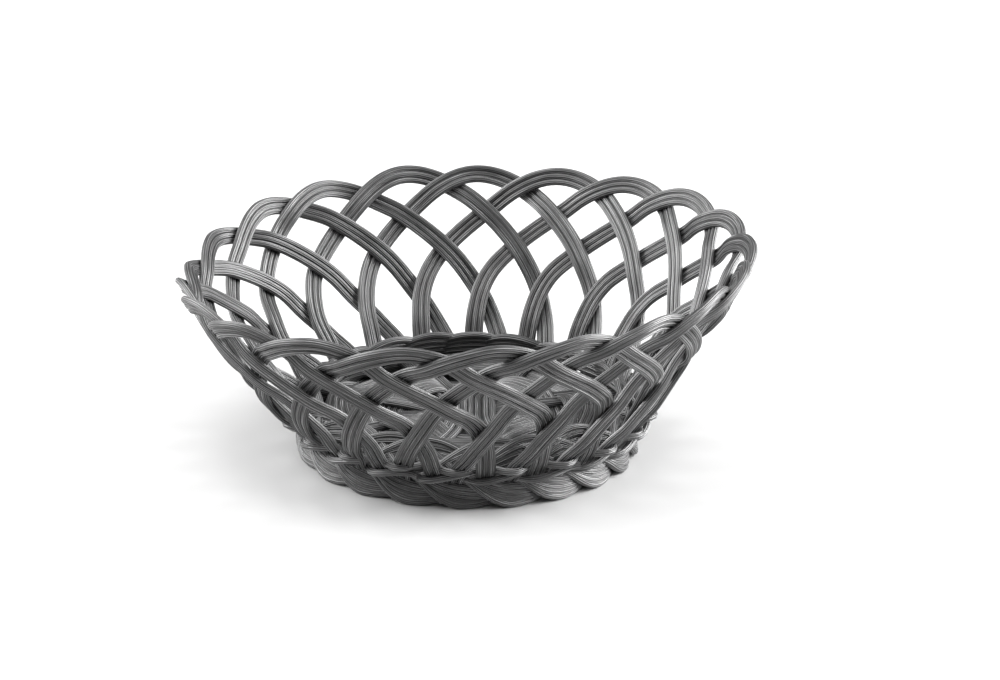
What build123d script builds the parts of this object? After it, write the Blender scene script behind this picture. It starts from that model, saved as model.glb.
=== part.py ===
"""Round open-work fruit basket, woven from ribbed plastic rods.

The wall is a lattice of arches. Each arch is a flat bundle of rods that climbs out of the foot,
turns over in a crest at the rim and comes down again, passing over and under its neighbours.
Under the wall come the waling that ties the legs, a rolled border that is the foot, and a
woven floor. Millimetres, +Z up, origin on the resting plane under the middle of the basket.
"""
import os
from math import ceil, cos, degrees, pi, radians, sin, tanh

from build123d import *

# Rods and arches
rod_diameter = 2.75
rod_clearance = 0.05        # between rods that lie side by side
weave_clearance = 0.2       # between a rod and what it passes over
arch_count = 21
rods_per_arch = 3

# Wall: a cone with a slight belly, measured on the middle of an arch bundle
rim_radius = 122.0
crest_height = 83.7
leg_end_radius = 72.5
leg_end_height = 12.5
wall_belly = 1.4

# Lattice, in pitches from the middle of an arch and in heights above the resting plane
first_row_height = 68.4     # where a leg crosses the leg of the second arch along
second_row_height = 37.1    # where it crosses the leg of the fourth arch along
falling_leg_foot = 2.48     # pitches from the crest to the end of the leg that leans
rising_leg_foot = 2.14      # pitches from the crest to the end of the leg that stands upright
weave_depth = 2.1           # how far a leg moves out or in where it crosses another
weave_softness = 0.11       # pitches over which a leg changes sides
crest_softness = 0.22
changes_side = (0.75, 1.75)     # pitches from the crest where a leg changes sides

# Waling: one rod woven singly, and under it a pair twined around the legs
randing_height = 19.0
twining_height = 15.0
twining_rise = 1.75
randing_depth = 3.9         # how far the waling rods swing out and in round the legs
twining_depth = 3.7
twining_flatness = 1.9
rods_per_turn = 3           # each ring is pieced from this many rods, laid end to end
piecing_gap = 0.8

# Foot: a rope of three strands, each strand one turn long
foot_overhang = 1.1         # how far the foot stands out past the leg ends
foot_outer_radius = leg_end_radius + foot_overhang
foot_strand_radius = 2.95
strands_in_rope = 3
strand_gap = 0.12           # share of a pitch left open between strands that follow each other
foot_flat = 0.25            # how deep the strands are flattened where they rest

# Floor
spoke_count = 8
rods_per_spoke = 4
floor_height = 15.2
hub_half_width = 10.5
spoke_start_radius = 21.5
spoke_end_inset = 3.7       # how far inside the leg ends the spokes stop
spoke_end_radius = leg_end_radius - spoke_end_inset
weaver_inset = 1.9          # from the bend of the spokes to the first weaver rod
weaver_inner_radius = spoke_start_radius + weaver_inset
weaver_count = 2
rods_per_weaver = 7
weaver_flatness = 1.8
inner_ring_inset = 2.9      # how far inside the leg ends the inner ring lies
inner_ring_radius = leg_end_radius - inner_ring_inset
inner_ring_lay = 1.62       # radius of the twist of the three rods of the inner ring
inner_ring_rods = 3
inner_ring_turns = 12

# How finely the curves are followed
arch_stations = 40
strand_stations = 16
stations_per_wave = 10

rod_radius = rod_diameter / 2
rod_pitch = rod_diameter + rod_clearance
pass_depth = rod_diameter + weave_clearance
arch_pitch = 360 / arch_count


def wall_radius(height):
    """Radius of the wall's middle surface at a height."""
    share = (height - leg_end_height) / (crest_height - leg_end_height)
    straight = leg_end_radius + share * (rim_radius - leg_end_radius)
    return straight + wall_belly * 4 * share * (1 - share)


def wall_point(angle, height):
    """Point on the wall's middle surface, at an angle in degrees around the basket."""
    return Vector(wall_radius(height), 0, height).rotate(Axis.Z, angle)


def wall_outward(angle, height):
    """Unit vector square to the wall, pointing out of the basket."""
    step = 0.5
    up = wall_point(angle, height + step) - wall_point(angle, height - step)
    around = Vector(0, 1, 0).rotate(Axis.Z, angle)
    return around.cross(up).normalized()


def flat_wave(phase, flatness):
    """A cosine with flattened tops, for a rod that lies along what it passes."""
    return tanh(flatness * cos(phase)) / tanh(flatness)


def leg_side(pitches):
    """Which side of the wall an arch is on, from -1 inside to 1 outside, along its width."""
    side = -tanh(pitches / crest_softness)
    for change in changes_side:
        side *= tanh((change - abs(pitches)) / weave_softness)
    return side


def fade_in(height):
    """Nought at the waling, where the legs stand side by side, rising to one in the lattice."""
    top = second_row_height - rod_pitch * rods_per_arch
    share = (height - randing_height) / (top - randing_height)
    share = min(max(share, 0), 1)
    return share * share * (3 - 2 * share)


def rod_along(points, sides, radius=rod_radius):
    """A plain rod of short straight runs through the points; sides keep it from twisting."""
    last = len(points) - 1
    with BuildPart() as rod:
        for index, point in enumerate(points):
            along = points[min(index + 1, last)] - points[max(index - 1, 0)]
            square = sides[index] - along * (sides[index].dot(along) / along.dot(along))
            with BuildSketch(Plane(origin=point, x_dir=square, z_dir=along)):
                Circle(radius)
        loft(ruled=True)
    return rod.part


def arch_outline():
    """One arch on the flat: degrees around the basket across, height up."""
    with BuildLine() as outline:
        Spline(
            (-falling_leg_foot * arch_pitch, leg_end_height),
            (-2 * arch_pitch, second_row_height),
            (-arch_pitch, first_row_height),
            (0, crest_height),
            (arch_pitch, first_row_height),
            (2 * arch_pitch, second_row_height),
            (rising_leg_foot * arch_pitch, leg_end_height),
        )
    return outline.line


def arch_rod(outline, place):
    """One rod of an arch; place counts rods from the middle of the bundle."""
    middle = []
    outward = []
    for station in range(arch_stations + 1):
        flat = outline @ (station / arch_stations)
        out = wall_outward(flat.X, flat.Y)
        depth = weave_depth * leg_side(flat.X / arch_pitch) * fade_in(flat.Y)
        middle.append(wall_point(flat.X, flat.Y) + out * depth)
        outward.append(out)
    points = []
    for station in range(arch_stations + 1):
        before = middle[max(station - 1, 0)]
        after = middle[min(station + 1, arch_stations)]
        across = outward[station].cross(after - before).normalized()
        points.append(middle[station] + across * place * rod_pitch)
    return rod_along(points, outward)


def ring_rods(waves, place_at, first_angle=0):
    """One turn round the basket, pieced from rods that stop just short of one another.

    place_at(angle) gives the radius and the height of the rods' centre line.
    """
    rods = []
    stations = ceil(waves * stations_per_wave / rods_per_turn)
    rod_angle = 360 / rods_per_turn
    gap_angle = degrees(piecing_gap / place_at(first_angle)[0])
    for number in range(rods_per_turn):
        points = []
        sides = []
        for station in range(stations + 1):
            angle = first_angle + number * rod_angle + (rod_angle - gap_angle) * station / stations
            radius, height = place_at(angle)
            points.append(Vector(radius, 0, height).rotate(Axis.Z, angle))
            sides.append(Vector(1, 0, 0).rotate(Axis.Z, angle))
        rods.append(rod_along(points, sides))
    return rods


def write(pieces, name):
    """Label a finished piece, or a group of like rods, and save it under its own name."""
    group = Compound(label=name, children=pieces)
    export_step(group, f"parts/{name}.step")


os.makedirs("parts", exist_ok=True)

# Arches: three rods side by side, the same arch at every pitch around the basket
outline = arch_outline()
arch_rods = []
for index in range(rods_per_arch):
    arch_rods.append(arch_rod(outline, index - (rods_per_arch - 1) / 2))
for number in range(arch_count):
    turned = [rod.rotate(Axis.Z, number * arch_pitch) for rod in arch_rods]
    write(turned, f"arch_{number + 1:02d}")

# Where the legs stand as they meet the waling, in pitches
leaning_foot = -falling_leg_foot % 1
upright_foot = rising_leg_foot % 1
foot_pair_middle = (leaning_foot + upright_foot) / 2


def randing_place(angle):
    """The upper waling, outside every leaning leg and inside every upright one."""
    phase = 2 * pi * (angle / arch_pitch - leaning_foot)
    return wall_radius(randing_height) + randing_depth * cos(phase), randing_height


def twining_place(angle):
    """The lower waling, round the legs two at a time, on the other side at the next turn."""
    phase = pi * (angle / arch_pitch - foot_pair_middle)
    radius = wall_radius(twining_height) + twining_depth * flat_wave(phase, twining_flatness)
    return radius, twining_height + twining_rise * sin(phase)


write(ring_rods(arch_count, randing_place), "waling_upper")
write(ring_rods(arch_count, twining_place), "waling_lower_front")
write(ring_rods(arch_count, twining_place, first_angle=360), "waling_lower_back")

# Foot: each strand starts inside the rope, comes over the top, rolls down the outside and
# tucks in underneath, where the next strand of the same row starts
lay_radius = (foot_strand_radius + rod_clearance) / sin(pi / strands_in_rope)
rope_radius = lay_radius + foot_strand_radius
rope_centre_radius = foot_outer_radius - rope_radius
rope_centre_height = rope_radius - foot_flat
strand_pitches = strands_in_rope - strand_gap
strand_points = []
strand_sides = []
for station in range(strand_stations + 1):
    pitches = strand_pitches * station / strand_stations
    turn = pi - 2 * pi * pitches / strands_in_rope
    radius = rope_centre_radius + lay_radius * cos(turn)
    height = rope_centre_height + lay_radius * sin(turn)
    strand_points.append(Vector(radius, 0, height).rotate(Axis.Z, pitches * arch_pitch))
    strand_sides.append(Vector(1, 0, 0).rotate(Axis.Z, pitches * arch_pitch))
whole_strand = rod_along(strand_points, strand_sides, foot_strand_radius)
with BuildPart() as strand:
    add(whole_strand)
    split(bisect_by=Plane.XY, keep=Keep.TOP)
for number in range(arch_count):
    write([strand.part.rotate(Axis.Z, number * arch_pitch)], f"foot_strand_{number + 1:02d}")

# Floor sticks: two layers cross in the hub and fan out in pairs, as spokes
sticks_per_layer = spoke_count * rods_per_spoke // 4
spoke_step = 360 / spoke_count
spoke_middle_radius = (spoke_start_radius + spoke_end_radius) / 2
for layer, layer_angle, name in ((-1, 0, "floor_sticks_lower"), (1, 90, "floor_sticks_upper")):
    sticks = []
    for index in range(sticks_per_layer):
        spoke = index // rods_per_spoke - (spoke_count // 4 - 1) / 2
        in_spoke = index % rods_per_spoke - (rods_per_spoke - 1) / 2
        side = (index - (sticks_per_layer - 1) / 2) * rod_pitch
        hub_height = floor_height + layer * rod_pitch / 2
        half = [Vector(0, side, hub_height), Vector(hub_half_width, side, hub_height)]
        for radius in (spoke_start_radius, spoke_middle_radius, spoke_end_radius):
            point = Vector(radius, in_spoke * rod_pitch, floor_height)
            half.append(point.rotate(Axis.Z, spoke * spoke_step))
        other = [Vector(-point.X, point.Y, point.Z) for point in reversed(half[1:])]
        points = other + half
        stick = rod_along(points, [Vector(0, 0, 1)] * len(points))
        sticks.append(stick.rotate(Axis.Z, layer_angle))
    write(sticks, name)

# Floor weavers: bundles of rods, each bundle over the spokes that the last one went under
spoke_waves = spoke_count // 2
for number in range(weaver_count):
    side = 1 if number % 2 else -1
    rods = []
    for index in range(rods_per_weaver):
        rod_radius_on_floor = weaver_inner_radius + (number * rods_per_weaver + index) * rod_pitch

        def weaver_place(angle):
            rise = side * pass_depth * flat_wave(spoke_waves * radians(angle), weaver_flatness)
            return rod_radius_on_floor, floor_height + rise

        rods.extend(ring_rods(spoke_waves, weaver_place))
    write(rods, f"floor_weaver_{number + 1}")

# Inner ring: three rods laid up like a rope, on the spoke ends and against the legs
inner_ring_height = floor_height + rod_radius + weave_clearance + inner_ring_lay + rod_radius
for number in range(inner_ring_rods):

    def inner_ring_place(angle):
        turn = 2 * pi * number / inner_ring_rods + inner_ring_turns * radians(angle)
        radius = inner_ring_radius + inner_ring_lay * cos(turn)
        return radius, inner_ring_height + inner_ring_lay * sin(turn)

    write(ring_rods(inner_ring_turns, inner_ring_place), f"inner_ring_rod_{number + 1}")
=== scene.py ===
"""Round open-work fruit basket of ribbed plastic rods.

Every rod is laid along its own route and given a ribbed section by one Geometry Nodes tree.
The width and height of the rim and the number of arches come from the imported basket.
"""
import math

import bpy
import numpy as np
from mathutils import Matrix, Vector


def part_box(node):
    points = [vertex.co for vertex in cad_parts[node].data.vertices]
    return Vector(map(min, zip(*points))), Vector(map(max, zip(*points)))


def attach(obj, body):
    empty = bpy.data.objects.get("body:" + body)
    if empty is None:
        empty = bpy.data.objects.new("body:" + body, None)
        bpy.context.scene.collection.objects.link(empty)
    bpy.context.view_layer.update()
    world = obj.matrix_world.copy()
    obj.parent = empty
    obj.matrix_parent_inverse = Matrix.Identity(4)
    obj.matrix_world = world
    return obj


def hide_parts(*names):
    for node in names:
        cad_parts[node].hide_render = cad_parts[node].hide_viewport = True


bl_info = {
    "name": "Woven Fruit Basket",
    "version": (1, 0, 0),
    "blender": (4, 5, 0),
    "location": "View3D > Sidebar > Basket",
    "description": "Weaves a round open-work basket from ribbed plastic rods",
    "category": "Object",
}

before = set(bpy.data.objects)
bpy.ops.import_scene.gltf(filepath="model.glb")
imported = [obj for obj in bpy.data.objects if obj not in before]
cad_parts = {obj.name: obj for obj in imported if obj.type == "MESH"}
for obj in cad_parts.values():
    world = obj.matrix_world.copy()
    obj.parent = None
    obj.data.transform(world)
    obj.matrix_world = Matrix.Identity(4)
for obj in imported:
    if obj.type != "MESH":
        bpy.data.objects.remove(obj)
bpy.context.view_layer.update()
MM = 0.001

ARCH_NODES = sorted(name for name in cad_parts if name.startswith("arch_"))
FOOT_NODES = sorted(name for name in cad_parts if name.startswith("foot_strand_"))
INNER_NODES = sorted(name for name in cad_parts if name.startswith("inner_ring_"))
STICK_NODES = sorted(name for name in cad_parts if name.startswith("floor_sticks_"))
WEAVER_NODES = sorted(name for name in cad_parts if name.startswith("floor_weaver_"))
ARCH_COUNT = len(ARCH_NODES)
PITCH = 2 * math.pi / ARCH_COUNT


def outer_radius(nodes):
    """Largest half width of a group of CAD nodes."""
    return max(max(abs(value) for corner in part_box(name) for value in corner[:2]) for name in nodes)


def top_height(nodes):
    """Highest point of a group of CAD nodes."""
    return max(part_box(name)[1].z for name in nodes)


# The middle of a bundle lies this far inside and under the outermost surface of the rim
RIM_HEIGHT = top_height(ARCH_NODES)
CREST_INSET = 3.4 * MM
CREST_DROP = 3.9 * MM
CREST_RADIUS = outer_radius(ARCH_NODES) - CREST_INSET
CREST_HEIGHT = RIM_HEIGHT - CREST_DROP


# ---------------------------------------------------------------- sizes and colours

class BasketSizes(bpy.types.PropertyGroup):
    """Sizes of the weave"""

    rod_diameter: bpy.props.FloatProperty(
        name="Rod Diameter", description="Thickness of every rod", default=3.0 * MM,
        unit="LENGTH", precision=5)
    rods_per_bundle: bpy.props.IntProperty(
        name="Rods per Bundle", description="Rods side by side in an arch", default=3, min=1)
    rib_count: bpy.props.IntProperty(
        name="Ribs", description="Fine ribs around each rod", default=10, min=3)
    rib_depth: bpy.props.FloatProperty(
        name="Rib Depth", description="Depth of the groove between two ribs", default=0.36 * MM,
        unit="LENGTH", precision=5)
    ring_spacing: bpy.props.FloatProperty(
        name="Ring Spacing", description="Distance between mesh rings along a rod", default=2.3 * MM,
        unit="LENGTH", precision=5)
    rod_spacing: bpy.props.FloatProperty(
        name="Rod Spacing", description="Distance between the middles of two rods side by side",
        default=2.62 * MM, unit="LENGTH", precision=5)
    wall_lean: bpy.props.FloatProperty(
        name="Wall Lean", description="How far the wall tips to one side over the foot",
        default=math.radians(2.6), subtype="ANGLE")
    weave_depth: bpy.props.FloatProperty(
        name="Weave Depth", description="How far a leg moves in or out where it crosses another",
        default=1.6 * MM, unit="LENGTH", precision=5)
    unevenness: bpy.props.FloatProperty(
        name="Unevenness", description="How far hand work strays from the true weave", default=1.0, min=0.0)
    seed: bpy.props.IntProperty(
        name="Seed", description="Start of the random draws for the unevenness", default=21, min=0)


class BasketColours(bpy.types.PropertyGroup):
    """Colours of the plastic"""

    plastic: bpy.props.FloatVectorProperty(
        name="Plastic", description="Body colour of the rods", subtype="COLOR", size=4, min=0.0, max=1.0,
        default=(0.02, 0.02, 0.0205, 1.0))
    # Paler colour painted on the crests of the ribs: painted highlight, partly rubbed wear
    highlighted_and_rubbed: bpy.props.FloatVectorProperty(
        name="Highlight and Wear", description="Paler colour of rubbed ribs", subtype="COLOR", size=4, min=0.0, max=1.0,
        default=(0.5, 0.5, 0.505, 1.0))
    # Dark colour painted in the grooves between ribs: painted shade
    groove: bpy.props.FloatVectorProperty(
        name="Painted Groove Shade", description="Dark colour between two ribs", subtype="COLOR", size=4, min=0.0, max=1.0,
        default=(0.004, 0.004, 0.004, 1.0))
    table: bpy.props.FloatVectorProperty(
        name="Table", description="Pale table top", subtype="COLOR", size=4, min=0.0, max=1.0,
        default=(0.48, 0.48, 0.48, 1.0))


def sizes():
    return bpy.context.scene.basket_sizes


def colours():
    return bpy.context.scene.basket_colours


# ---------------------------------------------------------------- routes

FOOT_RODS = 5
# Stations of one leaf of the foot: pitches round, radius, height, half spread out and up (mm)
FOOT_LEAF = (
    (-1.15, 65.0, 6.0, 0.4, 1.6),
    (-0.75, 65.6, 10.6, -0.8, 1.0),
    (-0.38, 68.6, 12.6, -1.2, 0.4),
    (-0.08, 71.2, 11.0, -0.8, 1.6),
    (0.22, 72.2, 7.9, -0.6, 3.3),
    (0.60, 72.1, 5.5, -0.5, 4.0),
    (0.98, 70.9, 4.9, -0.2, 3.2),
    (1.30, 68.9, 4.6, 0.3, 2.2),
    (1.65, 66.6, 4.4, 0.6, 2.4),
)
INNER_RODS = 4
INNER_STRAY = 0.1           # pitches by which an arc may start early or late
# Stations of one arc of the twined ring inside the basket, in the same order
INNER_ARC = (
    (0.0, 71.2, 16.4, 0.8, 1.2),
    (0.3, 69.8, 19.6, -0.6, 2.4),
    (0.8, 67.2, 22.6, -1.2, 3.6),
    (1.35, 66.4, 22.8, -1.2, 3.8),
    (1.9, 68.4, 20.0, -0.8, 2.6),
    (2.3, 71.0, 16.4, 0.8, 1.2),
)

# Lattice: heights above the table, and places in pitches from the crest. A leg leans out of its
# foot on one side of the arch and stands upright on the other
FIRST_ROW = 68.4 * MM
SECOND_ROW = 37.1 * MM
LEG_END_RADIUS = 72.5 * MM
LEG_END_HEIGHT = 12.5 * MM
WALL_BELLY = 1.4 * MM
LEANING_FOOT = 2.48
UPRIGHT_FOOT = 2.14
CHANGES_SIDE = (0.75, 1.75)
SIDE_SOFTNESS = 0.13
CREST_SOFTNESS = 0.24
LATTICE_START = SECOND_ROW - 8 * MM
OUTLINE_SCALE = 0.1         # heights are divided by this while an arch is drawn on the flat

# Points along a route before it is evenly divided
ARCH_SAMPLES = 400
UPPER_WALING_SAMPLES = 1200
LOWER_WALING_SAMPLES = 420
BUNDLE_SAMPLES = 200
STICK_SAMPLES = 120
WEAVER_SAMPLES = 300

# Where the wall as woven departs from a true cone
DIP_ANGLE = math.radians(162)
DIP_WIDTH = math.radians(26)
DIP_DEPTH = 4.6 * MM
PRESS_ANGLE = math.radians(182)
PRESS_DEPTH = 2.6 * MM
EXTRA_HEIGHT = 1.6 * MM
PRESS_LIMIT = 1.25          # of the first row's height, where the dip and the press stop growing
LEAN_RATE = 2.2             # how soon above the leg ends the lean comes in

# How far hand work strays at an unevenness of one: pitches, or lengths across the rod
CREST_LEAN = 0.035
CREST_STRAY = 0.7 * MM
LEG_FOOT_STRAY = 0.04
ARCH_STRAY = 0.35 * MM
ROD_LIFT = 0.22 * MM
SPACING_STRAY = 0.06
SLIT_START = 1.05
SLIT_WIDTH = 3.5 * MM
STATION_STRAY = 0.14 * MM
DRIFT_HEIGHT = 1.6          # about how high the sum of the waves in a drift reaches
TIGHT_BEND = 0.85           # share of the ring spacing used where a bundle bends tightly

# Waling: a single rod over a twined pair, each turn pieced from several rods
UPPER_WALING_HEIGHT = 19.0 * MM
UPPER_WALING_DEPTH = 3.3 * MM
UPPER_WALING_STRAY = 0.8 * MM
UPPER_WALING_GAP = 0.01     # radians left open between its two ends
LOWER_WALING_HEIGHT = 15.0 * MM
LOWER_WALING_DEPTH = 3.5 * MM
LOWER_WALING_RISE = 2.0 * MM
LOWER_WALING_STRAY = 0.5 * MM
LOWER_WALING_FLATNESS = 1.7
SECOND_TURN_SHIFT = 0.4     # share of a rod's length by which the second ring's joints move on
RODS_PER_TURN = 3
LOOSE_END = 0.55            # pitches that each rod runs on past its turn
LOOSE_END_RADIUS = 79.5 * MM
LOOSE_END_CURVE = 1.5       # above one, so that the tip leaves its ring gently
LOOSE_END_HEIGHTS = (-1.5, 3.0)     # mm, from the lowest to the highest tip

# Floor: two layers of sticks that cross in a hub and fan out as spokes, and rings of weavers
FLOOR_HEIGHT = 15.2 * MM
STICKS_PER_LAYER = 8
STICKS_PER_SPOKE = 4
SPOKE_STEP = math.pi / 4
STICK_GAP = 0.06 * MM
HUB_HALF_WIDTH = 10.5 * MM
SPOKE_RADII = (21.5 * MM, 45 * MM, 68.8 * MM)
RODS_PER_WEAVER = 7
WEAVER_START = 23.4         # mm, radius of the first ring
WEAVER_STEP = 2.8           # mm, from ring to ring
WEAVER_RISE = 2.85 * MM
WEAVER_WAVES = 4
WEAVER_FLATNESS = 1.8
WEAVER_GAP = 0.6 * MM


def turned(points, angle):
    """Points turned about the basket's axis."""
    c, s = math.cos(angle), math.sin(angle)
    return points @ np.array([[c, s, 0], [-s, c, 0], [0, 0, 1]])


def cylinder_points(angle, radius, height):
    """Points from arrays of angles, radii and heights."""
    return np.stack([radius * np.cos(angle), radius * np.sin(angle), height + 0 * angle], axis=1)


def smooth_line(points, count):
    """A natural cubic line through a few points, sampled count times."""
    points = np.asarray(points, float)
    knots = np.concatenate([[0], np.cumsum(np.linalg.norm(np.diff(points, axis=0), axis=1))])
    steps = np.diff(knots)
    size = len(points)
    system = np.eye(size)
    right = np.zeros_like(points)
    for i in range(1, size - 1):
        system[i, i - 1:i + 2] = steps[i - 1], 2 * (steps[i - 1] + steps[i]), steps[i]
        right[i] = 6 * ((points[i + 1] - points[i]) / steps[i] - (points[i] - points[i - 1]) / steps[i - 1])
    bend = np.linalg.solve(system, right)
    where = np.linspace(0, knots[-1], count)
    span = np.clip(np.searchsorted(knots, where, side="right") - 1, 0, size - 2)
    left = (where - knots[span])[:, None]
    step = steps[span][:, None]
    rest = step - left
    return (
        bend[span] * rest ** 3 / (6 * step)
        + bend[span + 1] * left ** 3 / (6 * step)
        + (points[span] / step - bend[span] * step / 6) * rest
        + (points[span + 1] / step - bend[span + 1] * step / 6) * left
    )


def even(points, spacing):
    """The same line with its points evenly spaced."""
    run = np.concatenate([[0], np.cumsum(np.linalg.norm(np.diff(points, axis=0), axis=1))])
    count = max(int(round(run[-1] / spacing)), 4)
    where = np.linspace(0, run[-1], count + 1)
    return np.stack([np.interp(where, run, points[:, axis]) for axis in range(3)], axis=1)


def drift(draws, length, scale, waves=3):
    """A slow random wave along a rod, about plus or minus one, for length samples."""
    where = np.linspace(0, 1, length)
    total = np.zeros(length)
    for wave in range(waves):
        turns = where * (wave + draws.uniform(0.4, 1.4)) + draws.uniform()
        total += np.sin(2 * math.pi * turns) / (wave + 1)
    return total * scale / DRIFT_HEIGHT


def wall_radius(height):
    """Radius of the wall's middle surface: a cone with a slight belly."""
    share = (height - LEG_END_HEIGHT) / (CREST_HEIGHT - LEG_END_HEIGHT)
    straight = LEG_END_RADIUS + share * (CREST_RADIUS - LEG_END_RADIUS)
    return straight + WALL_BELLY * 4 * share * (1 - share)


def wall_outward(angle, height):
    """Unit vectors square to the wall, pointing out of the basket."""
    step = 0.5 * MM
    rise = 2 * step
    spread = wall_radius(height + step) - wall_radius(height - step)
    length = np.hypot(rise, spread)
    return np.stack([np.cos(angle) * rise / length, np.sin(angle) * rise / length, -spread / length], axis=1)


def bump(angle, middle, width):
    """One at the middle angle, falling off to nought over the width."""
    off = (angle - middle + math.pi) % (2 * math.pi) - math.pi
    return np.exp(-(off / width) ** 2)


def leaned(points):
    """The wall as it stands: tipped a little to one side, and pressed down at one end."""
    share = np.clip((points[:, 2] - LEG_END_HEIGHT) / (FIRST_ROW - LEG_END_HEIGHT), 0, PRESS_LIMIT)
    hold = np.clip(share * LEAN_RATE, 0, 1)
    lean = math.tan(sizes().wall_lean)
    angle = np.arctan2(points[:, 1], points[:, 0])
    moved = points.copy()
    dip = DIP_DEPTH * bump(angle, DIP_ANGLE, DIP_WIDTH) * share ** 2
    press = PRESS_DEPTH * bump(angle, PRESS_ANGLE, DIP_WIDTH) * share ** 2
    moved[:, 0] -= lean * (points[:, 2] - LEG_END_HEIGHT) + press * np.cos(angle)
    moved[:, 1] -= press * np.sin(angle)
    moved[:, 2] += lean * points[:, 0] * hold + EXTRA_HEIGHT * share - dip
    return moved


def leg_side(pitches):
    """Which side of the wall an arch is on, from -1 inside to 1 outside."""
    side = -np.tanh(pitches / CREST_SOFTNESS)
    for change in CHANGES_SIDE:
        side = side * np.tanh((change - np.abs(pitches)) / SIDE_SOFTNESS)
    return side


def fade_in(height):
    """Nought at the waling, rising to one in the lattice."""
    share = (height - UPPER_WALING_HEIGHT) / (LATTICE_START - UPPER_WALING_HEIGHT)
    share = np.clip(share, 0, 1)
    return share * share * (3 - 2 * share)


def unit(vectors):
    return vectors / np.linalg.norm(vectors, axis=1)[:, None]


def arch_routes(number, draws):
    """Centre lines of the rods of one arch."""
    s = sizes()
    uneven = s.unevenness
    lean = draws.normal() * CREST_LEAN * uneven
    crest = CREST_HEIGHT + draws.normal() * CREST_STRAY * uneven
    foot_shift = draws.normal(size=2) * LEG_FOOT_STRAY * uneven
    outline = smooth_line(
        [
            (-(LEANING_FOOT + foot_shift[0]) * PITCH, LEG_END_HEIGHT / OUTLINE_SCALE),
            (-2 * PITCH, SECOND_ROW / OUTLINE_SCALE),
            (-(1 - lean) * PITCH, FIRST_ROW / OUTLINE_SCALE),
            (lean * PITCH, crest / OUTLINE_SCALE),
            ((1 + lean) * PITCH, FIRST_ROW / OUTLINE_SCALE),
            (2 * PITCH, SECOND_ROW / OUTLINE_SCALE),
            ((UPRIGHT_FOOT + foot_shift[1]) * PITCH, LEG_END_HEIGHT / OUTLINE_SCALE),
        ],
        ARCH_SAMPLES,
    )
    angle = outline[:, 0]
    height = outline[:, 1] * OUTLINE_SCALE
    out = wall_outward(angle, height)
    middle = cylinder_points(angle, wall_radius(height), height)
    middle += out * (s.weave_depth * leg_side(angle / PITCH) * fade_in(height))[:, None]
    middle += out * drift(draws, len(middle), ARCH_STRAY * uneven)[:, None]
    across = unit(np.cross(out, np.gradient(middle, axis=0)))
    places = np.arange(s.rods_per_bundle) - (s.rods_per_bundle - 1) / 2
    routes = []
    for place in places:
        shift = place * s.rod_spacing * (1 + drift(draws, len(middle), SPACING_STRAY * uneven))
        slit = np.clip(drift(draws, len(middle), 1.0) - SLIT_START, 0, 1) * SLIT_WIDTH * uneven
        lift = drift(draws, len(middle), ROD_LIFT * uneven, waves=5)
        route = middle + across * (shift + slit * np.sign(place))[:, None] + out * lift[:, None]
        routes.append(leaned(turned(even(route, s.ring_spacing), number * PITCH)))
    return routes


def flat_wave(phase, flatness):
    """A cosine with flattened tops."""
    return np.tanh(flatness * np.cos(phase)) / math.tanh(flatness)


def upper_waling_routes(draws):
    """One rod outside every leaning leg and inside every upright one."""
    s = sizes()
    angle = np.linspace(0, 2 * math.pi - UPPER_WALING_GAP, UPPER_WALING_SAMPLES)
    phase = 2 * math.pi * (angle / PITCH + LEANING_FOOT)
    radius = wall_radius(UPPER_WALING_HEIGHT) + UPPER_WALING_DEPTH * np.cos(phase)
    height = UPPER_WALING_HEIGHT + drift(draws, len(angle), UPPER_WALING_STRAY * s.unevenness, waves=9)
    return [even(cylinder_points(angle, radius, height), s.ring_spacing)]


def lower_waling_routes(draws, first_turn):
    """One turn of the pair twined round the legs two at a time, pieced from rods with loose ends."""
    s = sizes()
    middle = ((-LEANING_FOOT) % 1 + UPRIGHT_FOOT % 1) / 2
    span = 2 * math.pi / RODS_PER_TURN
    routes = []
    for number in range(RODS_PER_TURN):
        first = number * span + first_turn * SECOND_TURN_SHIFT * span + draws.uniform(-1, 1) * PITCH
        angle = np.linspace(first, first + span + LOOSE_END * PITCH, LOWER_WALING_SAMPLES)
        phase = math.pi * (angle / PITCH - middle) + first_turn * math.pi
        swing = LOWER_WALING_DEPTH * flat_wave(phase, LOWER_WALING_FLATNESS)
        radius = wall_radius(LOWER_WALING_HEIGHT) + swing
        height = LOWER_WALING_HEIGHT + LOWER_WALING_RISE * np.sin(phase)
        height = height + drift(draws, len(angle), LOWER_WALING_STRAY * s.unevenness, waves=5)
        end = np.clip((angle - first - span) / (LOOSE_END * PITCH), 0, 1) ** LOOSE_END_CURVE
        radius = radius + end * (LOOSE_END_RADIUS - radius)
        height = height + end * draws.uniform(*LOOSE_END_HEIGHTS) * MM
        routes.append(even(cylinder_points(angle, radius, height), s.ring_spacing))
    return routes


def fanned_bundle(start, stations, count, draws):
    """Rods that fan out and draw together again along a route round the basket.

    Each station is how far round in pitches, the radius, the height, and half the spread in
    radius and in height.
    """
    s = sizes()
    table = np.array(stations, float)
    routes = []
    for place in np.linspace(-1, 1, count):
        radius = (table[:, 1] + place * table[:, 3]) * MM
        height = (table[:, 2] + place * table[:, 4]) * MM
        radius = radius + draws.normal(size=len(table)) * STATION_STRAY * s.unevenness
        height = height + np.abs(draws.normal(size=len(table))) * STATION_STRAY * s.unevenness
        angle = start + table[:, 0] * PITCH
        line = smooth_line(cylinder_points(angle, radius, height), BUNDLE_SAMPLES)
        line[:, 2] = np.maximum(line[:, 2], s.rod_diameter / 2)
        routes.append(even(line, s.ring_spacing * TIGHT_BEND))
    return routes


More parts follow.
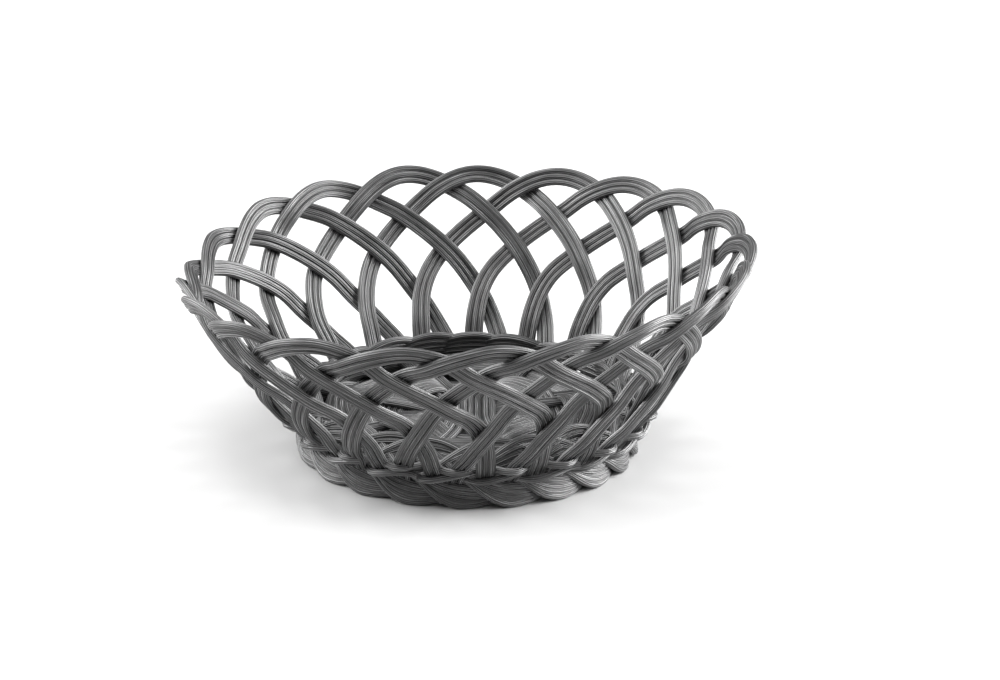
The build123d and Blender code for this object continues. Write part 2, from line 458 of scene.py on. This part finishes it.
def stick_routes(layer):
    """One layer of floor sticks, side by side in the hub and fanned out in fours at both ends."""
    s = sizes()
    rod = s.rod_diameter + STICK_GAP
    hub = FLOOR_HEIGHT + layer * rod / 2
    routes = []
    for index in range(STICKS_PER_LAYER):
        spoke_angle = (index // STICKS_PER_SPOKE - 0.5) * SPOKE_STEP
        aside = (index % STICKS_PER_SPOKE - (STICKS_PER_SPOKE - 1) / 2) * rod
        in_hub = (index - (STICKS_PER_LAYER - 1) / 2) * rod
        half = [(0, in_hub, hub), (HUB_HALF_WIDTH, in_hub, hub)]
        for radius in SPOKE_RADII:
            half.append((
                radius * math.cos(spoke_angle) - aside * math.sin(spoke_angle),
                radius * math.sin(spoke_angle) + aside * math.cos(spoke_angle),
                FLOOR_HEIGHT,
            ))
        other = [(-x, y, z) for x, y, z in reversed(half[1:])]
        line = smooth_line(other + half, STICK_SAMPLES)
        routes.append(turned(even(line, s.ring_spacing), 0 if layer < 0 else math.pi / 2))
    return routes


def weaver_routes(number):
    """One band of weaver rings; each band goes over the spokes that the last one went under."""
    s = sizes()
    side = 1 if number % 2 else -1
    routes = []
    for index in range(RODS_PER_WEAVER):
        radius = (WEAVER_START + WEAVER_STEP * (number * RODS_PER_WEAVER + index)) * MM
        angle = np.linspace(0, 2 * math.pi - WEAVER_GAP / radius, WEAVER_SAMPLES)
        rise = side * WEAVER_RISE * flat_wave(WEAVER_WAVES * angle, WEAVER_FLATNESS)
        ring = cylinder_points(angle, radius + 0 * angle, FLOOR_HEIGHT + rise)
        routes.append(even(ring, s.ring_spacing))
    return routes


# ---------------------------------------------------------------- ribbed rod

POINTS_PER_RIB = 4


def link(tree, source, target):
    tree.links.new(source, target)


def math_node(tree, operation, first, second, clamp=False):
    """A Math node whose inputs are numbers or sockets; gives its output."""
    node = tree.nodes.new("ShaderNodeMath")
    node.operation = operation
    node.use_clamp = clamp
    for socket, value in zip(node.inputs, (first, second)):
        if isinstance(value, (int, float)):
            socket.default_value = value
        else:
            link(tree, value, socket)
    return node.outputs[0]


def ribbed_rod_tree():
    """Geometry Nodes: sweeps a ribbed round section along curves."""
    tree = bpy.data.node_groups.get("Ribbed Rod")
    if tree:
        return tree
    tree = bpy.data.node_groups.new("Ribbed Rod", "GeometryNodeTree")
    face = tree.interface
    face.new_socket("Geometry", in_out="INPUT", socket_type="NodeSocketGeometry")
    face.new_socket("Rod Radius", in_out="INPUT", socket_type="NodeSocketFloat")
    face.new_socket("Ribs", in_out="INPUT", socket_type="NodeSocketInt")
    face.new_socket("Rib Depth", in_out="INPUT", socket_type="NodeSocketFloat")
    face.new_socket("Points per Rib", in_out="INPUT", socket_type="NodeSocketInt")
    face.new_socket("Seed", in_out="INPUT", socket_type="NodeSocketInt")
    face.new_socket("Material", in_out="INPUT", socket_type="NodeSocketMaterial")
    face.new_socket("Geometry", in_out="OUTPUT", socket_type="NodeSocketGeometry")
    add = tree.nodes.new
    group_in = add("NodeGroupInput")
    group_out = add("NodeGroupOutput")

    # section: a circle pulled in between the ribs
    circle = add("GeometryNodeCurvePrimitiveCircle")
    points = math_node(tree, "MULTIPLY", group_in.outputs["Ribs"], group_in.outputs["Points per Rib"])
    link(tree, points, circle.inputs["Resolution"])
    circle.inputs["Radius"].default_value = 1.0
    index = add("GeometryNodeInputIndex")
    share = math_node(tree, "DIVIDE", index.outputs[0], points)
    turns = math_node(tree, "MULTIPLY", share, group_in.outputs["Ribs"])
    wave = math_node(tree, "COSINE", math_node(tree, "MULTIPLY", turns, 2 * math.pi), 0)
    groove = math_node(tree, "MULTIPLY", math_node(tree, "SUBTRACT", 1.0, wave), 0.5)
    depth = math_node(tree, "MULTIPLY", groove, group_in.outputs["Rib Depth"])
    radius = math_node(tree, "SUBTRACT", group_in.outputs["Rod Radius"], depth)
    position = add("GeometryNodeInputPosition")
    scaled = add("ShaderNodeVectorMath")
    scaled.operation = "SCALE"
    link(tree, position.outputs[0], scaled.inputs[0])
    link(tree, radius, scaled.inputs["Scale"])
    moved = add("GeometryNodeSetPosition")
    link(tree, circle.outputs["Curve"], moved.inputs["Geometry"])
    link(tree, scaled.outputs[0], moved.inputs["Position"])

    def store(geometry, name, value, domain="POINT"):
        node = add("GeometryNodeStoreNamedAttribute")
        node.data_type = "FLOAT"
        node.domain = domain
        node.inputs["Name"].default_value = name
        link(tree, geometry, node.inputs["Geometry"])
        link(tree, value, node.inputs["Value"])
        return node.outputs["Geometry"]

    profile = store(moved.outputs["Geometry"], "rib_groove", groove)
    profile = store(profile, "rod_around", share)

    # route: length along the rod and one random shade for each rod
    spline = add("GeometryNodeSplineParameter")
    route = store(group_in.outputs["Geometry"], "rod_along", spline.outputs["Length"])
    chance = add("FunctionNodeRandomValue")
    chance.data_type = "FLOAT"
    link(tree, add("GeometryNodeInputIndex").outputs[0], chance.inputs["ID"])
    link(tree, group_in.outputs["Seed"], chance.inputs["Seed"])
    route = store(route, "rod_shade", chance.outputs[1], "CURVE")

    body = add("GeometryNodeCurveToMesh")
    link(tree, route, body.inputs["Curve"])
    link(tree, profile, body.inputs["Profile Curve"])
    body.inputs["Fill Caps"].default_value = True
    smooth = add("GeometryNodeSetShadeSmooth")
    link(tree, body.outputs["Mesh"], smooth.inputs["Geometry"])
    real = add("GeometryNodeRealizeInstances")
    link(tree, smooth.outputs["Geometry"], real.inputs["Geometry"])
    finish = add("GeometryNodeSetMaterial")
    link(tree, real.outputs["Geometry"], finish.inputs["Geometry"])
    link(tree, group_in.outputs["Material"], finish.inputs["Material"])
    link(tree, finish.outputs["Geometry"], group_out.inputs["Geometry"])
    return tree


def weave(name, routes, material, seed):
    """One mesh of ribbed rods that follow the routes."""
    s = sizes()
    curve = bpy.data.curves.new(name + "_route", "CURVE")
    curve.dimensions = "3D"
    for route in routes:
        spline = curve.splines.new("POLY")
        spline.points.add(len(route) - 1)
        spline.points.foreach_set("co", np.column_stack([route, np.ones(len(route))]).ravel())
    guide = bpy.data.objects.new(name + "_route", curve)
    bpy.context.scene.collection.objects.link(guide)
    modifier = guide.modifiers.new("Ribbed Rod", "NODES")
    modifier.node_group = ribbed_rod_tree()
    values = {
        "Rod Radius": s.rod_diameter / 2,
        "Ribs": s.rib_count,
        "Rib Depth": s.rib_depth,
        "Points per Rib": POINTS_PER_RIB,
        "Seed": seed,
        "Material": material,
    }
    for item in modifier.node_group.interface.items_tree:
        if item.item_type == "SOCKET" and item.in_out == "INPUT" and item.name in values:
            modifier[item.identifier] = values[item.name]
    bpy.context.view_layer.update()
    mesh = bpy.data.meshes.new_from_object(guide.evaluated_get(bpy.context.evaluated_depsgraph_get()))
    bpy.data.objects.remove(guide)
    bpy.data.curves.remove(curve)
    mesh.name = name
    piece = bpy.data.objects.new(name, mesh)
    bpy.context.scene.collection.objects.link(piece)
    return piece


def finish_piece(piece, nodes):
    """Ties a finished piece to the frame."""
    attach(piece, "root")
    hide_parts(*nodes)


# ---------------------------------------------------------------- materials

# Streaks along the plastic: how fine along a rod, how fine round it, and how ragged
LONG_STREAK = (9.0, 17.0, 1.5)
CLOUD = (70.0, 3.0, 3.0)
GRAIN = (900.0, 70.0, 2.0)
SHADE_OFFSET = 97.0         # moves the streaks of each rod to another part of the pattern
# Where each mask starts, and how quickly it rises from there
# The next two place the painted highlight, partly rubbed wear, in streaks and patches along the rib crests
HIGHLIGHT_AND_WEAR_STREAK = (0.4, 4.6)
HIGHLIGHT_AND_WEAR_PATCH = (0.32, 2.8)
# Painted shade in the grooves between ribs
PAINTED_GROOVE_SHADE = (0.15, 1.7)
HIGHLIGHT_AND_WEAR_CREST = 1.6          # the higher, the nearer the painted highlight and rubbed wear keep to the tops of the ribs
SHADE_SPREAD = 0.06
SMOOTH_ROUGHNESS = 0.2
GRAIN_ROUGHNESS = 0.2
GROOVE_ROUGHNESS = 0.3
STREAK_HEIGHT = 0.7
GRAIN_HEIGHT = 0.3
BUMP_DISTANCE = 0.05 * MM
BUMP_STRENGTH = 0.3
GLOSS = 0.85


def ribbed_plastic_group():
    """Shader group: colour, roughness and height of drawn, ribbed plastic."""
    group = bpy.data.node_groups.get("Ribbed Plastic")
    if group:
        return group
    group = bpy.data.node_groups.new("Ribbed Plastic", "ShaderNodeTree")
    face = group.interface
    face.new_socket("Body", in_out="INPUT", socket_type="NodeSocketColor")
    face.new_socket("Highlight and Wear", in_out="INPUT", socket_type="NodeSocketColor")
    face.new_socket("Painted Groove Shade", in_out="INPUT", socket_type="NodeSocketColor")
    face.new_socket("Streak", in_out="INPUT", socket_type="NodeSocketFloat")
    face.new_socket("Color", in_out="OUTPUT", socket_type="NodeSocketColor")
    face.new_socket("Roughness", in_out="OUTPUT", socket_type="NodeSocketFloat")
    face.new_socket("Height", in_out="OUTPUT", socket_type="NodeSocketFloat")
    add = group.nodes.new
    group_in, group_out = add("NodeGroupInput"), add("NodeGroupOutput")

    def attribute(name):
        node = add("ShaderNodeAttribute")
        node.attribute_name = name
        return node.outputs["Fac"]

    def rising(value, start, rate):
        """Nought below the start, and from there up to one at the rate."""
        return math_node(group, "MULTIPLY", math_node(group, "SUBTRACT", value, start), rate, clamp=True)

    around, along, shade = attribute("rod_around"), attribute("rod_along"), attribute("rod_shade")
    groove = attribute("rib_groove")

    def streaks(along_scale, around_scale, detail):
        where = add("ShaderNodeCombineXYZ")
        link(group, math_node(group, "MULTIPLY", around, around_scale), where.inputs["X"])
        link(group, math_node(group, "MULTIPLY", along, along_scale), where.inputs["Y"])
        link(group, math_node(group, "MULTIPLY", shade, SHADE_OFFSET), where.inputs["Z"])
        noise = add("ShaderNodeTexNoise")
        noise.inputs["Scale"].default_value = 1.0
        noise.inputs["Detail"].default_value = detail
        link(group, where.outputs[0], noise.inputs["Vector"])
        return noise.outputs["Fac"]

    long_streak = streaks(*LONG_STREAK)
    cloud = streaks(*CLOUD)
    grain = streaks(*GRAIN)
    # Painted highlight, partly rubbed wear: paler colour on the rib crests in streaks and patches, plus a
    # random pale tone for each rod
    crest = math_node(group, "POWER", math_node(group, "SUBTRACT", 1.0, groove), HIGHLIGHT_AND_WEAR_CREST)
    lit = math_node(group, "MULTIPLY", rising(long_streak, *HIGHLIGHT_AND_WEAR_STREAK), group_in.outputs["Streak"])
    patches = math_node(group, "MULTIPLY", lit, rising(cloud, *HIGHLIGHT_AND_WEAR_PATCH))
    highlight_and_wear = math_node(group, "MULTIPLY", crest, patches)
    highlight_and_wear = math_node(group, "ADD", highlight_and_wear, math_node(group, "MULTIPLY", shade, SHADE_SPREAD), clamp=True)

    def blend(factor, first, second):
        mix = add("ShaderNodeMix")
        mix.data_type = "RGBA"
        link(group, factor, mix.inputs[0])
        link(group, first, mix.inputs[6])
        link(group, second, mix.inputs[7])
        return mix.outputs[2]

    # The body colour is mixed towards the painted highlight colour
    skin = blend(highlight_and_wear, group_in.outputs["Body"], group_in.outputs["Highlight and Wear"])
    # Painted shade: the colour is darkened towards the groove colour in the grooves between ribs
    shaded = rising(groove, *PAINTED_GROOVE_SHADE)
    link(group, blend(shaded, skin, group_in.outputs["Painted Groove Shade"]), group_out.inputs["Color"])
    grainy = math_node(group, "MULTIPLY", grain, GRAIN_ROUGHNESS)
    rough = math_node(group, "ADD", SMOOTH_ROUGHNESS, grainy)
    rough = math_node(group, "ADD", rough, math_node(group, "MULTIPLY", groove, GROOVE_ROUGHNESS))
    link(group, rough, group_out.inputs["Roughness"])
    streak_height = math_node(group, "MULTIPLY", long_streak, STREAK_HEIGHT)
    height = math_node(group, "ADD", streak_height, math_node(group, "MULTIPLY", grain, GRAIN_HEIGHT))
    link(group, height, group_out.inputs["Height"])
    return group


def plastic(name, streak):
    """A grade of the grey ribbed plastic."""
    material = bpy.data.materials.get(name)
    if material:
        return material
    material = bpy.data.materials.new(name)
    material.use_nodes = True
    tree = material.node_tree
    shader = tree.nodes["Principled BSDF"]
    group = tree.nodes.new("ShaderNodeGroup")
    group.node_tree = ribbed_plastic_group()
    group.inputs["Body"].default_value = colours().plastic
    group.inputs["Highlight and Wear"].default_value = colours().highlighted_and_rubbed
    group.inputs["Painted Groove Shade"].default_value = colours().groove
    group.inputs["Streak"].default_value = streak
    relief = tree.nodes.new("ShaderNodeBump")
    relief.inputs["Distance"].default_value = BUMP_DISTANCE
    relief.inputs["Strength"].default_value = BUMP_STRENGTH
    link(tree, group.outputs["Color"], shader.inputs["Base Color"])
    link(tree, group.outputs["Roughness"], shader.inputs["Roughness"])
    link(tree, group.outputs["Height"], relief.inputs["Height"])
    link(tree, relief.outputs["Normal"], shader.inputs["Normal"])
    shader.inputs["Specular IOR Level"].default_value = GLOSS
    return material


# ---------------------------------------------------------------- operators

# How strongly the painted highlight, partly rubbed wear, shows along the ribs of each grade of plastic
WALL_STREAK = 0.9
FOOT_STREAK = 0.8
FLOOR_STREAK = 1.0
# First seed for the shades of the rods in each group of pieces
WALING_SEED = 31
FOOT_SEED = 50
INNER_SEED = 80
STICK_SEED = 100
WEAVER_SEED = 110


class BASKET_OT_arches(bpy.types.Operator):
    """Weave the wall: one piece for each arch"""

    bl_idname = "basket.arches"
    bl_label = "Weave Arches"

    def execute(self, context):
        draws = np.random.RandomState(sizes().seed)
        material = plastic("wall_plastic", WALL_STREAK)
        for number, node in enumerate(ARCH_NODES):
            piece = weave("woven_" + node, arch_routes(number, draws), material, number)
            finish_piece(piece, [node])
        return {"FINISHED"}


class BASKET_OT_waling(bpy.types.Operator):
    """Tie the legs with the upper and the twined lower waling"""

    bl_idname = "basket.waling"
    bl_label = "Tie Waling"

    def execute(self, context):
        draws = np.random.RandomState(sizes().seed + 1)
        material = plastic("waling_plastic", WALL_STREAK)
        rings = (
            ("waling_upper_rod", upper_waling_routes(draws), "waling_upper"),
            ("waling_front_rod", lower_waling_routes(draws, 0), "waling_lower_front"),
            ("waling_back_rod", lower_waling_routes(draws, 1), "waling_lower_back"),
        )
        for index, (name, routes, node) in enumerate(rings):
            piece = weave(name, routes, material, WALING_SEED + index)
            finish_piece(piece, [node])
        return {"FINISHED"}


class BASKET_OT_foot(bpy.types.Operator):
    """Roll the rod ends into the foot border"""

    bl_idname = "basket.foot"
    bl_label = "Roll Foot"

    def execute(self, context):
        draws = np.random.RandomState(sizes().seed + 2)
        material = plastic("foot_plastic", FOOT_STREAK)
        for number, node in enumerate(FOOT_NODES):
            routes = fanned_bundle(number * PITCH, FOOT_LEAF, FOOT_RODS, draws)
            finish_piece(weave("rolled_" + node, routes, material, FOOT_SEED + number), [node])
        return {"FINISHED"}


class BASKET_OT_inner_ring(bpy.types.Operator):
    """Lay the ring of twined bundles over the leg ends inside"""

    bl_idname = "basket.inner_ring"
    bl_label = "Lay Inner Ring"

    def execute(self, context):
        draws = np.random.RandomState(sizes().seed + 3)
        material = plastic("waling_plastic", WALL_STREAK)
        groups = [[] for _ in INNER_NODES]
        for number in range(ARCH_COUNT):
            start = (number + draws.normal() * INNER_STRAY * sizes().unevenness) * PITCH
            routes = fanned_bundle(start, INNER_ARC, INNER_RODS, draws)
            groups[number % len(INNER_NODES)].extend(routes)
        for index, (node, routes) in enumerate(zip(INNER_NODES, groups)):
            piece = weave("twined_" + node, routes, material, INNER_SEED + index)
            finish_piece(piece, [node])
        return {"FINISHED"}


class BASKET_OT_floor(bpy.types.Operator):
    """Weave the floor: crossed sticks and bundles of weavers"""

    bl_idname = "basket.floor"
    bl_label = "Weave Floor"

    def execute(self, context):
        material = plastic("floor_plastic", FLOOR_STREAK)
        for layer, node in zip((-1, 1), STICK_NODES):
            piece = weave("woven_" + node, stick_routes(layer), material, STICK_SEED + layer)
            finish_piece(piece, [node])
        for number, node in enumerate(WEAVER_NODES):
            piece = weave("woven_" + node, weaver_routes(number), material, WEAVER_SEED + number)
            finish_piece(piece, [node])
        return {"FINISHED"}


TABLE_HALF_WIDTH = 4.0
TABLE_ROUGHNESS = 0.8
SURROUND_LIGHT = 0.2
# Lamps: name, kind, place, power, and the angle of the sun or the width of a card
LAMPS = (
    ("key", "SUN", (-0.5, -0.25, 1.3), 2.1, math.radians(38)),
    ("left_card", "AREA", (-1.3, 0.3, 0.75), 44, 1.2),
    ("right_card", "AREA", (1.35, 0.25, 0.6), 80, 1.2),
    ("front_card", "AREA", (0.1, -0.9, 1.2), 3, 0.6),
)
# Camera: tipped down, rolled a little, and aimed beside and under the point that it is set out from
CAMERA_ELEVATION = math.radians(18.34)
CAMERA_ROLL = math.radians(-0.6)
CAMERA_DISTANCE = 1.393
CAMERA_TARGET = Vector((-3.4 * MM, 0, RIM_HEIGHT - 1.4 * MM))
AIM_ASIDE = 0.0389
AIM_DOWN = 0.0844
SENSOR_WIDTH = 36.0
FOCAL_WIDTHS = 3.285        # focal length in sensor widths
VIEW_LIMIT = 20.0


class BASKET_OT_stage(bpy.types.Operator):
    """Set out the table, the lights and the camera"""

    bl_idname = "basket.stage"
    bl_label = "Set Stage"

    def execute(self, context):
        scene = context.scene
        scene.view_settings.view_transform = "Standard"
        self.table(scene)
        world = bpy.data.worlds.new("studio")
        world.use_nodes = True
        background = world.node_tree.nodes["Background"]
        background.inputs["Color"].default_value = (1, 1, 1, 1)
        background.inputs["Strength"].default_value = SURROUND_LIGHT
        scene.world = world
        for name, kind, place, power, spread in LAMPS:
            self.lamp(scene, name, kind, place, power, spread)
        self.camera(scene)
        return {"FINISHED"}

    def table(self, scene):
        half = TABLE_HALF_WIDTH
        corners = [(-half, -half, 0), (half, -half, 0), (half, half, 0), (-half, half, 0)]
        mesh = bpy.data.meshes.new("table")
        mesh.from_pydata(corners, [], [(0, 1, 2, 3)])
        table = bpy.data.objects.new("table", mesh)
        scene.collection.objects.link(table)
        material = bpy.data.materials.new("table_top")
        material.use_nodes = True
        shader = material.node_tree.nodes["Principled BSDF"]
        shader.inputs["Base Color"].default_value = colours().table
        shader.inputs["Roughness"].default_value = TABLE_ROUGHNESS
        mesh.materials.append(material)

    def lamp(self, scene, name, kind, place, power, spread):
        data = bpy.data.lights.new(name, kind)
        data.energy = power
        if kind == "SUN":
            data.angle = spread
        else:
            data.size = spread
        lamp = bpy.data.objects.new(name, data)
        lamp.location = place
        aim = Vector((0, 0, RIM_HEIGHT / 2))
        lamp.rotation_euler = (aim - Vector(place)).to_track_quat("-Z", "Y").to_euler()
        scene.collection.objects.link(lamp)

    def camera(self, scene):
        data = bpy.data.cameras.new("camera")
        camera = bpy.data.objects.new("camera", data)
        scene.collection.objects.link(camera)
        scene.camera = camera
        forward = Vector((0, math.cos(CAMERA_ELEVATION), -math.sin(CAMERA_ELEVATION)))
        level = Vector((1, 0, 0))
        above = Vector((0, math.sin(CAMERA_ELEVATION), math.cos(CAMERA_ELEVATION)))
        right = level * math.cos(CAMERA_ROLL) - above * math.sin(CAMERA_ROLL)
        up = level * math.sin(CAMERA_ROLL) + above * math.cos(CAMERA_ROLL)
        view = (forward * FOCAL_WIDTHS + right * AIM_ASIDE - up * AIM_DOWN).normalized()
        right = view.cross(up).normalized()
        up = right.cross(view)
        place = CAMERA_TARGET - forward * CAMERA_DISTANCE
        basis = Matrix((right, up, -view)).transposed().to_4x4()
        camera.matrix_world = Matrix.Translation(place) @ basis
        data.sensor_width = SENSOR_WIDTH
        data.lens = SENSOR_WIDTH * FOCAL_WIDTHS
        data.clip_end = VIEW_LIMIT


class BASKET_PT_panel(bpy.types.Panel):
    """Lists the basket's operators and sizes"""

    bl_label = "Woven Fruit Basket"
    bl_idname = "BASKET_PT_panel"
    bl_space_type = "VIEW_3D"
    bl_region_type = "UI"
    bl_category = "Basket"

    def draw(self, context):
        layout = self.layout
        for group in (context.scene.basket_sizes, context.scene.basket_colours):
            for name in group.bl_rna.properties.keys():
                if name not in ("rna_type", "name"):
                    layout.prop(group, name)
        for operator in OPERATORS:
            layout.operator(operator.bl_idname)


OPERATORS = (
    BASKET_OT_stage,
    BASKET_OT_arches,
    BASKET_OT_waling,
    BASKET_OT_foot,
    BASKET_OT_inner_ring,
    BASKET_OT_floor,
)
CLASSES = (BasketSizes, BasketColours, *OPERATORS, BASKET_PT_panel)


def register():
    for item in CLASSES:
        bpy.utils.register_class(item)
    bpy.types.Scene.basket_sizes = bpy.props.PointerProperty(type=BasketSizes)
    bpy.types.Scene.basket_colours = bpy.props.PointerProperty(type=BasketColours)


def unregister():
    del bpy.types.Scene.basket_colours
    del bpy.types.Scene.basket_sizes
    for item in reversed(CLASSES):
        bpy.utils.unregister_class(item)


def main():
    register()
    bpy.ops.basket.stage()
    bpy.ops.basket.arches()
    bpy.ops.basket.waling()
    bpy.ops.basket.foot()
    bpy.ops.basket.inner_ring()
    bpy.ops.basket.floor()


if __name__ == "__main__":
    main()
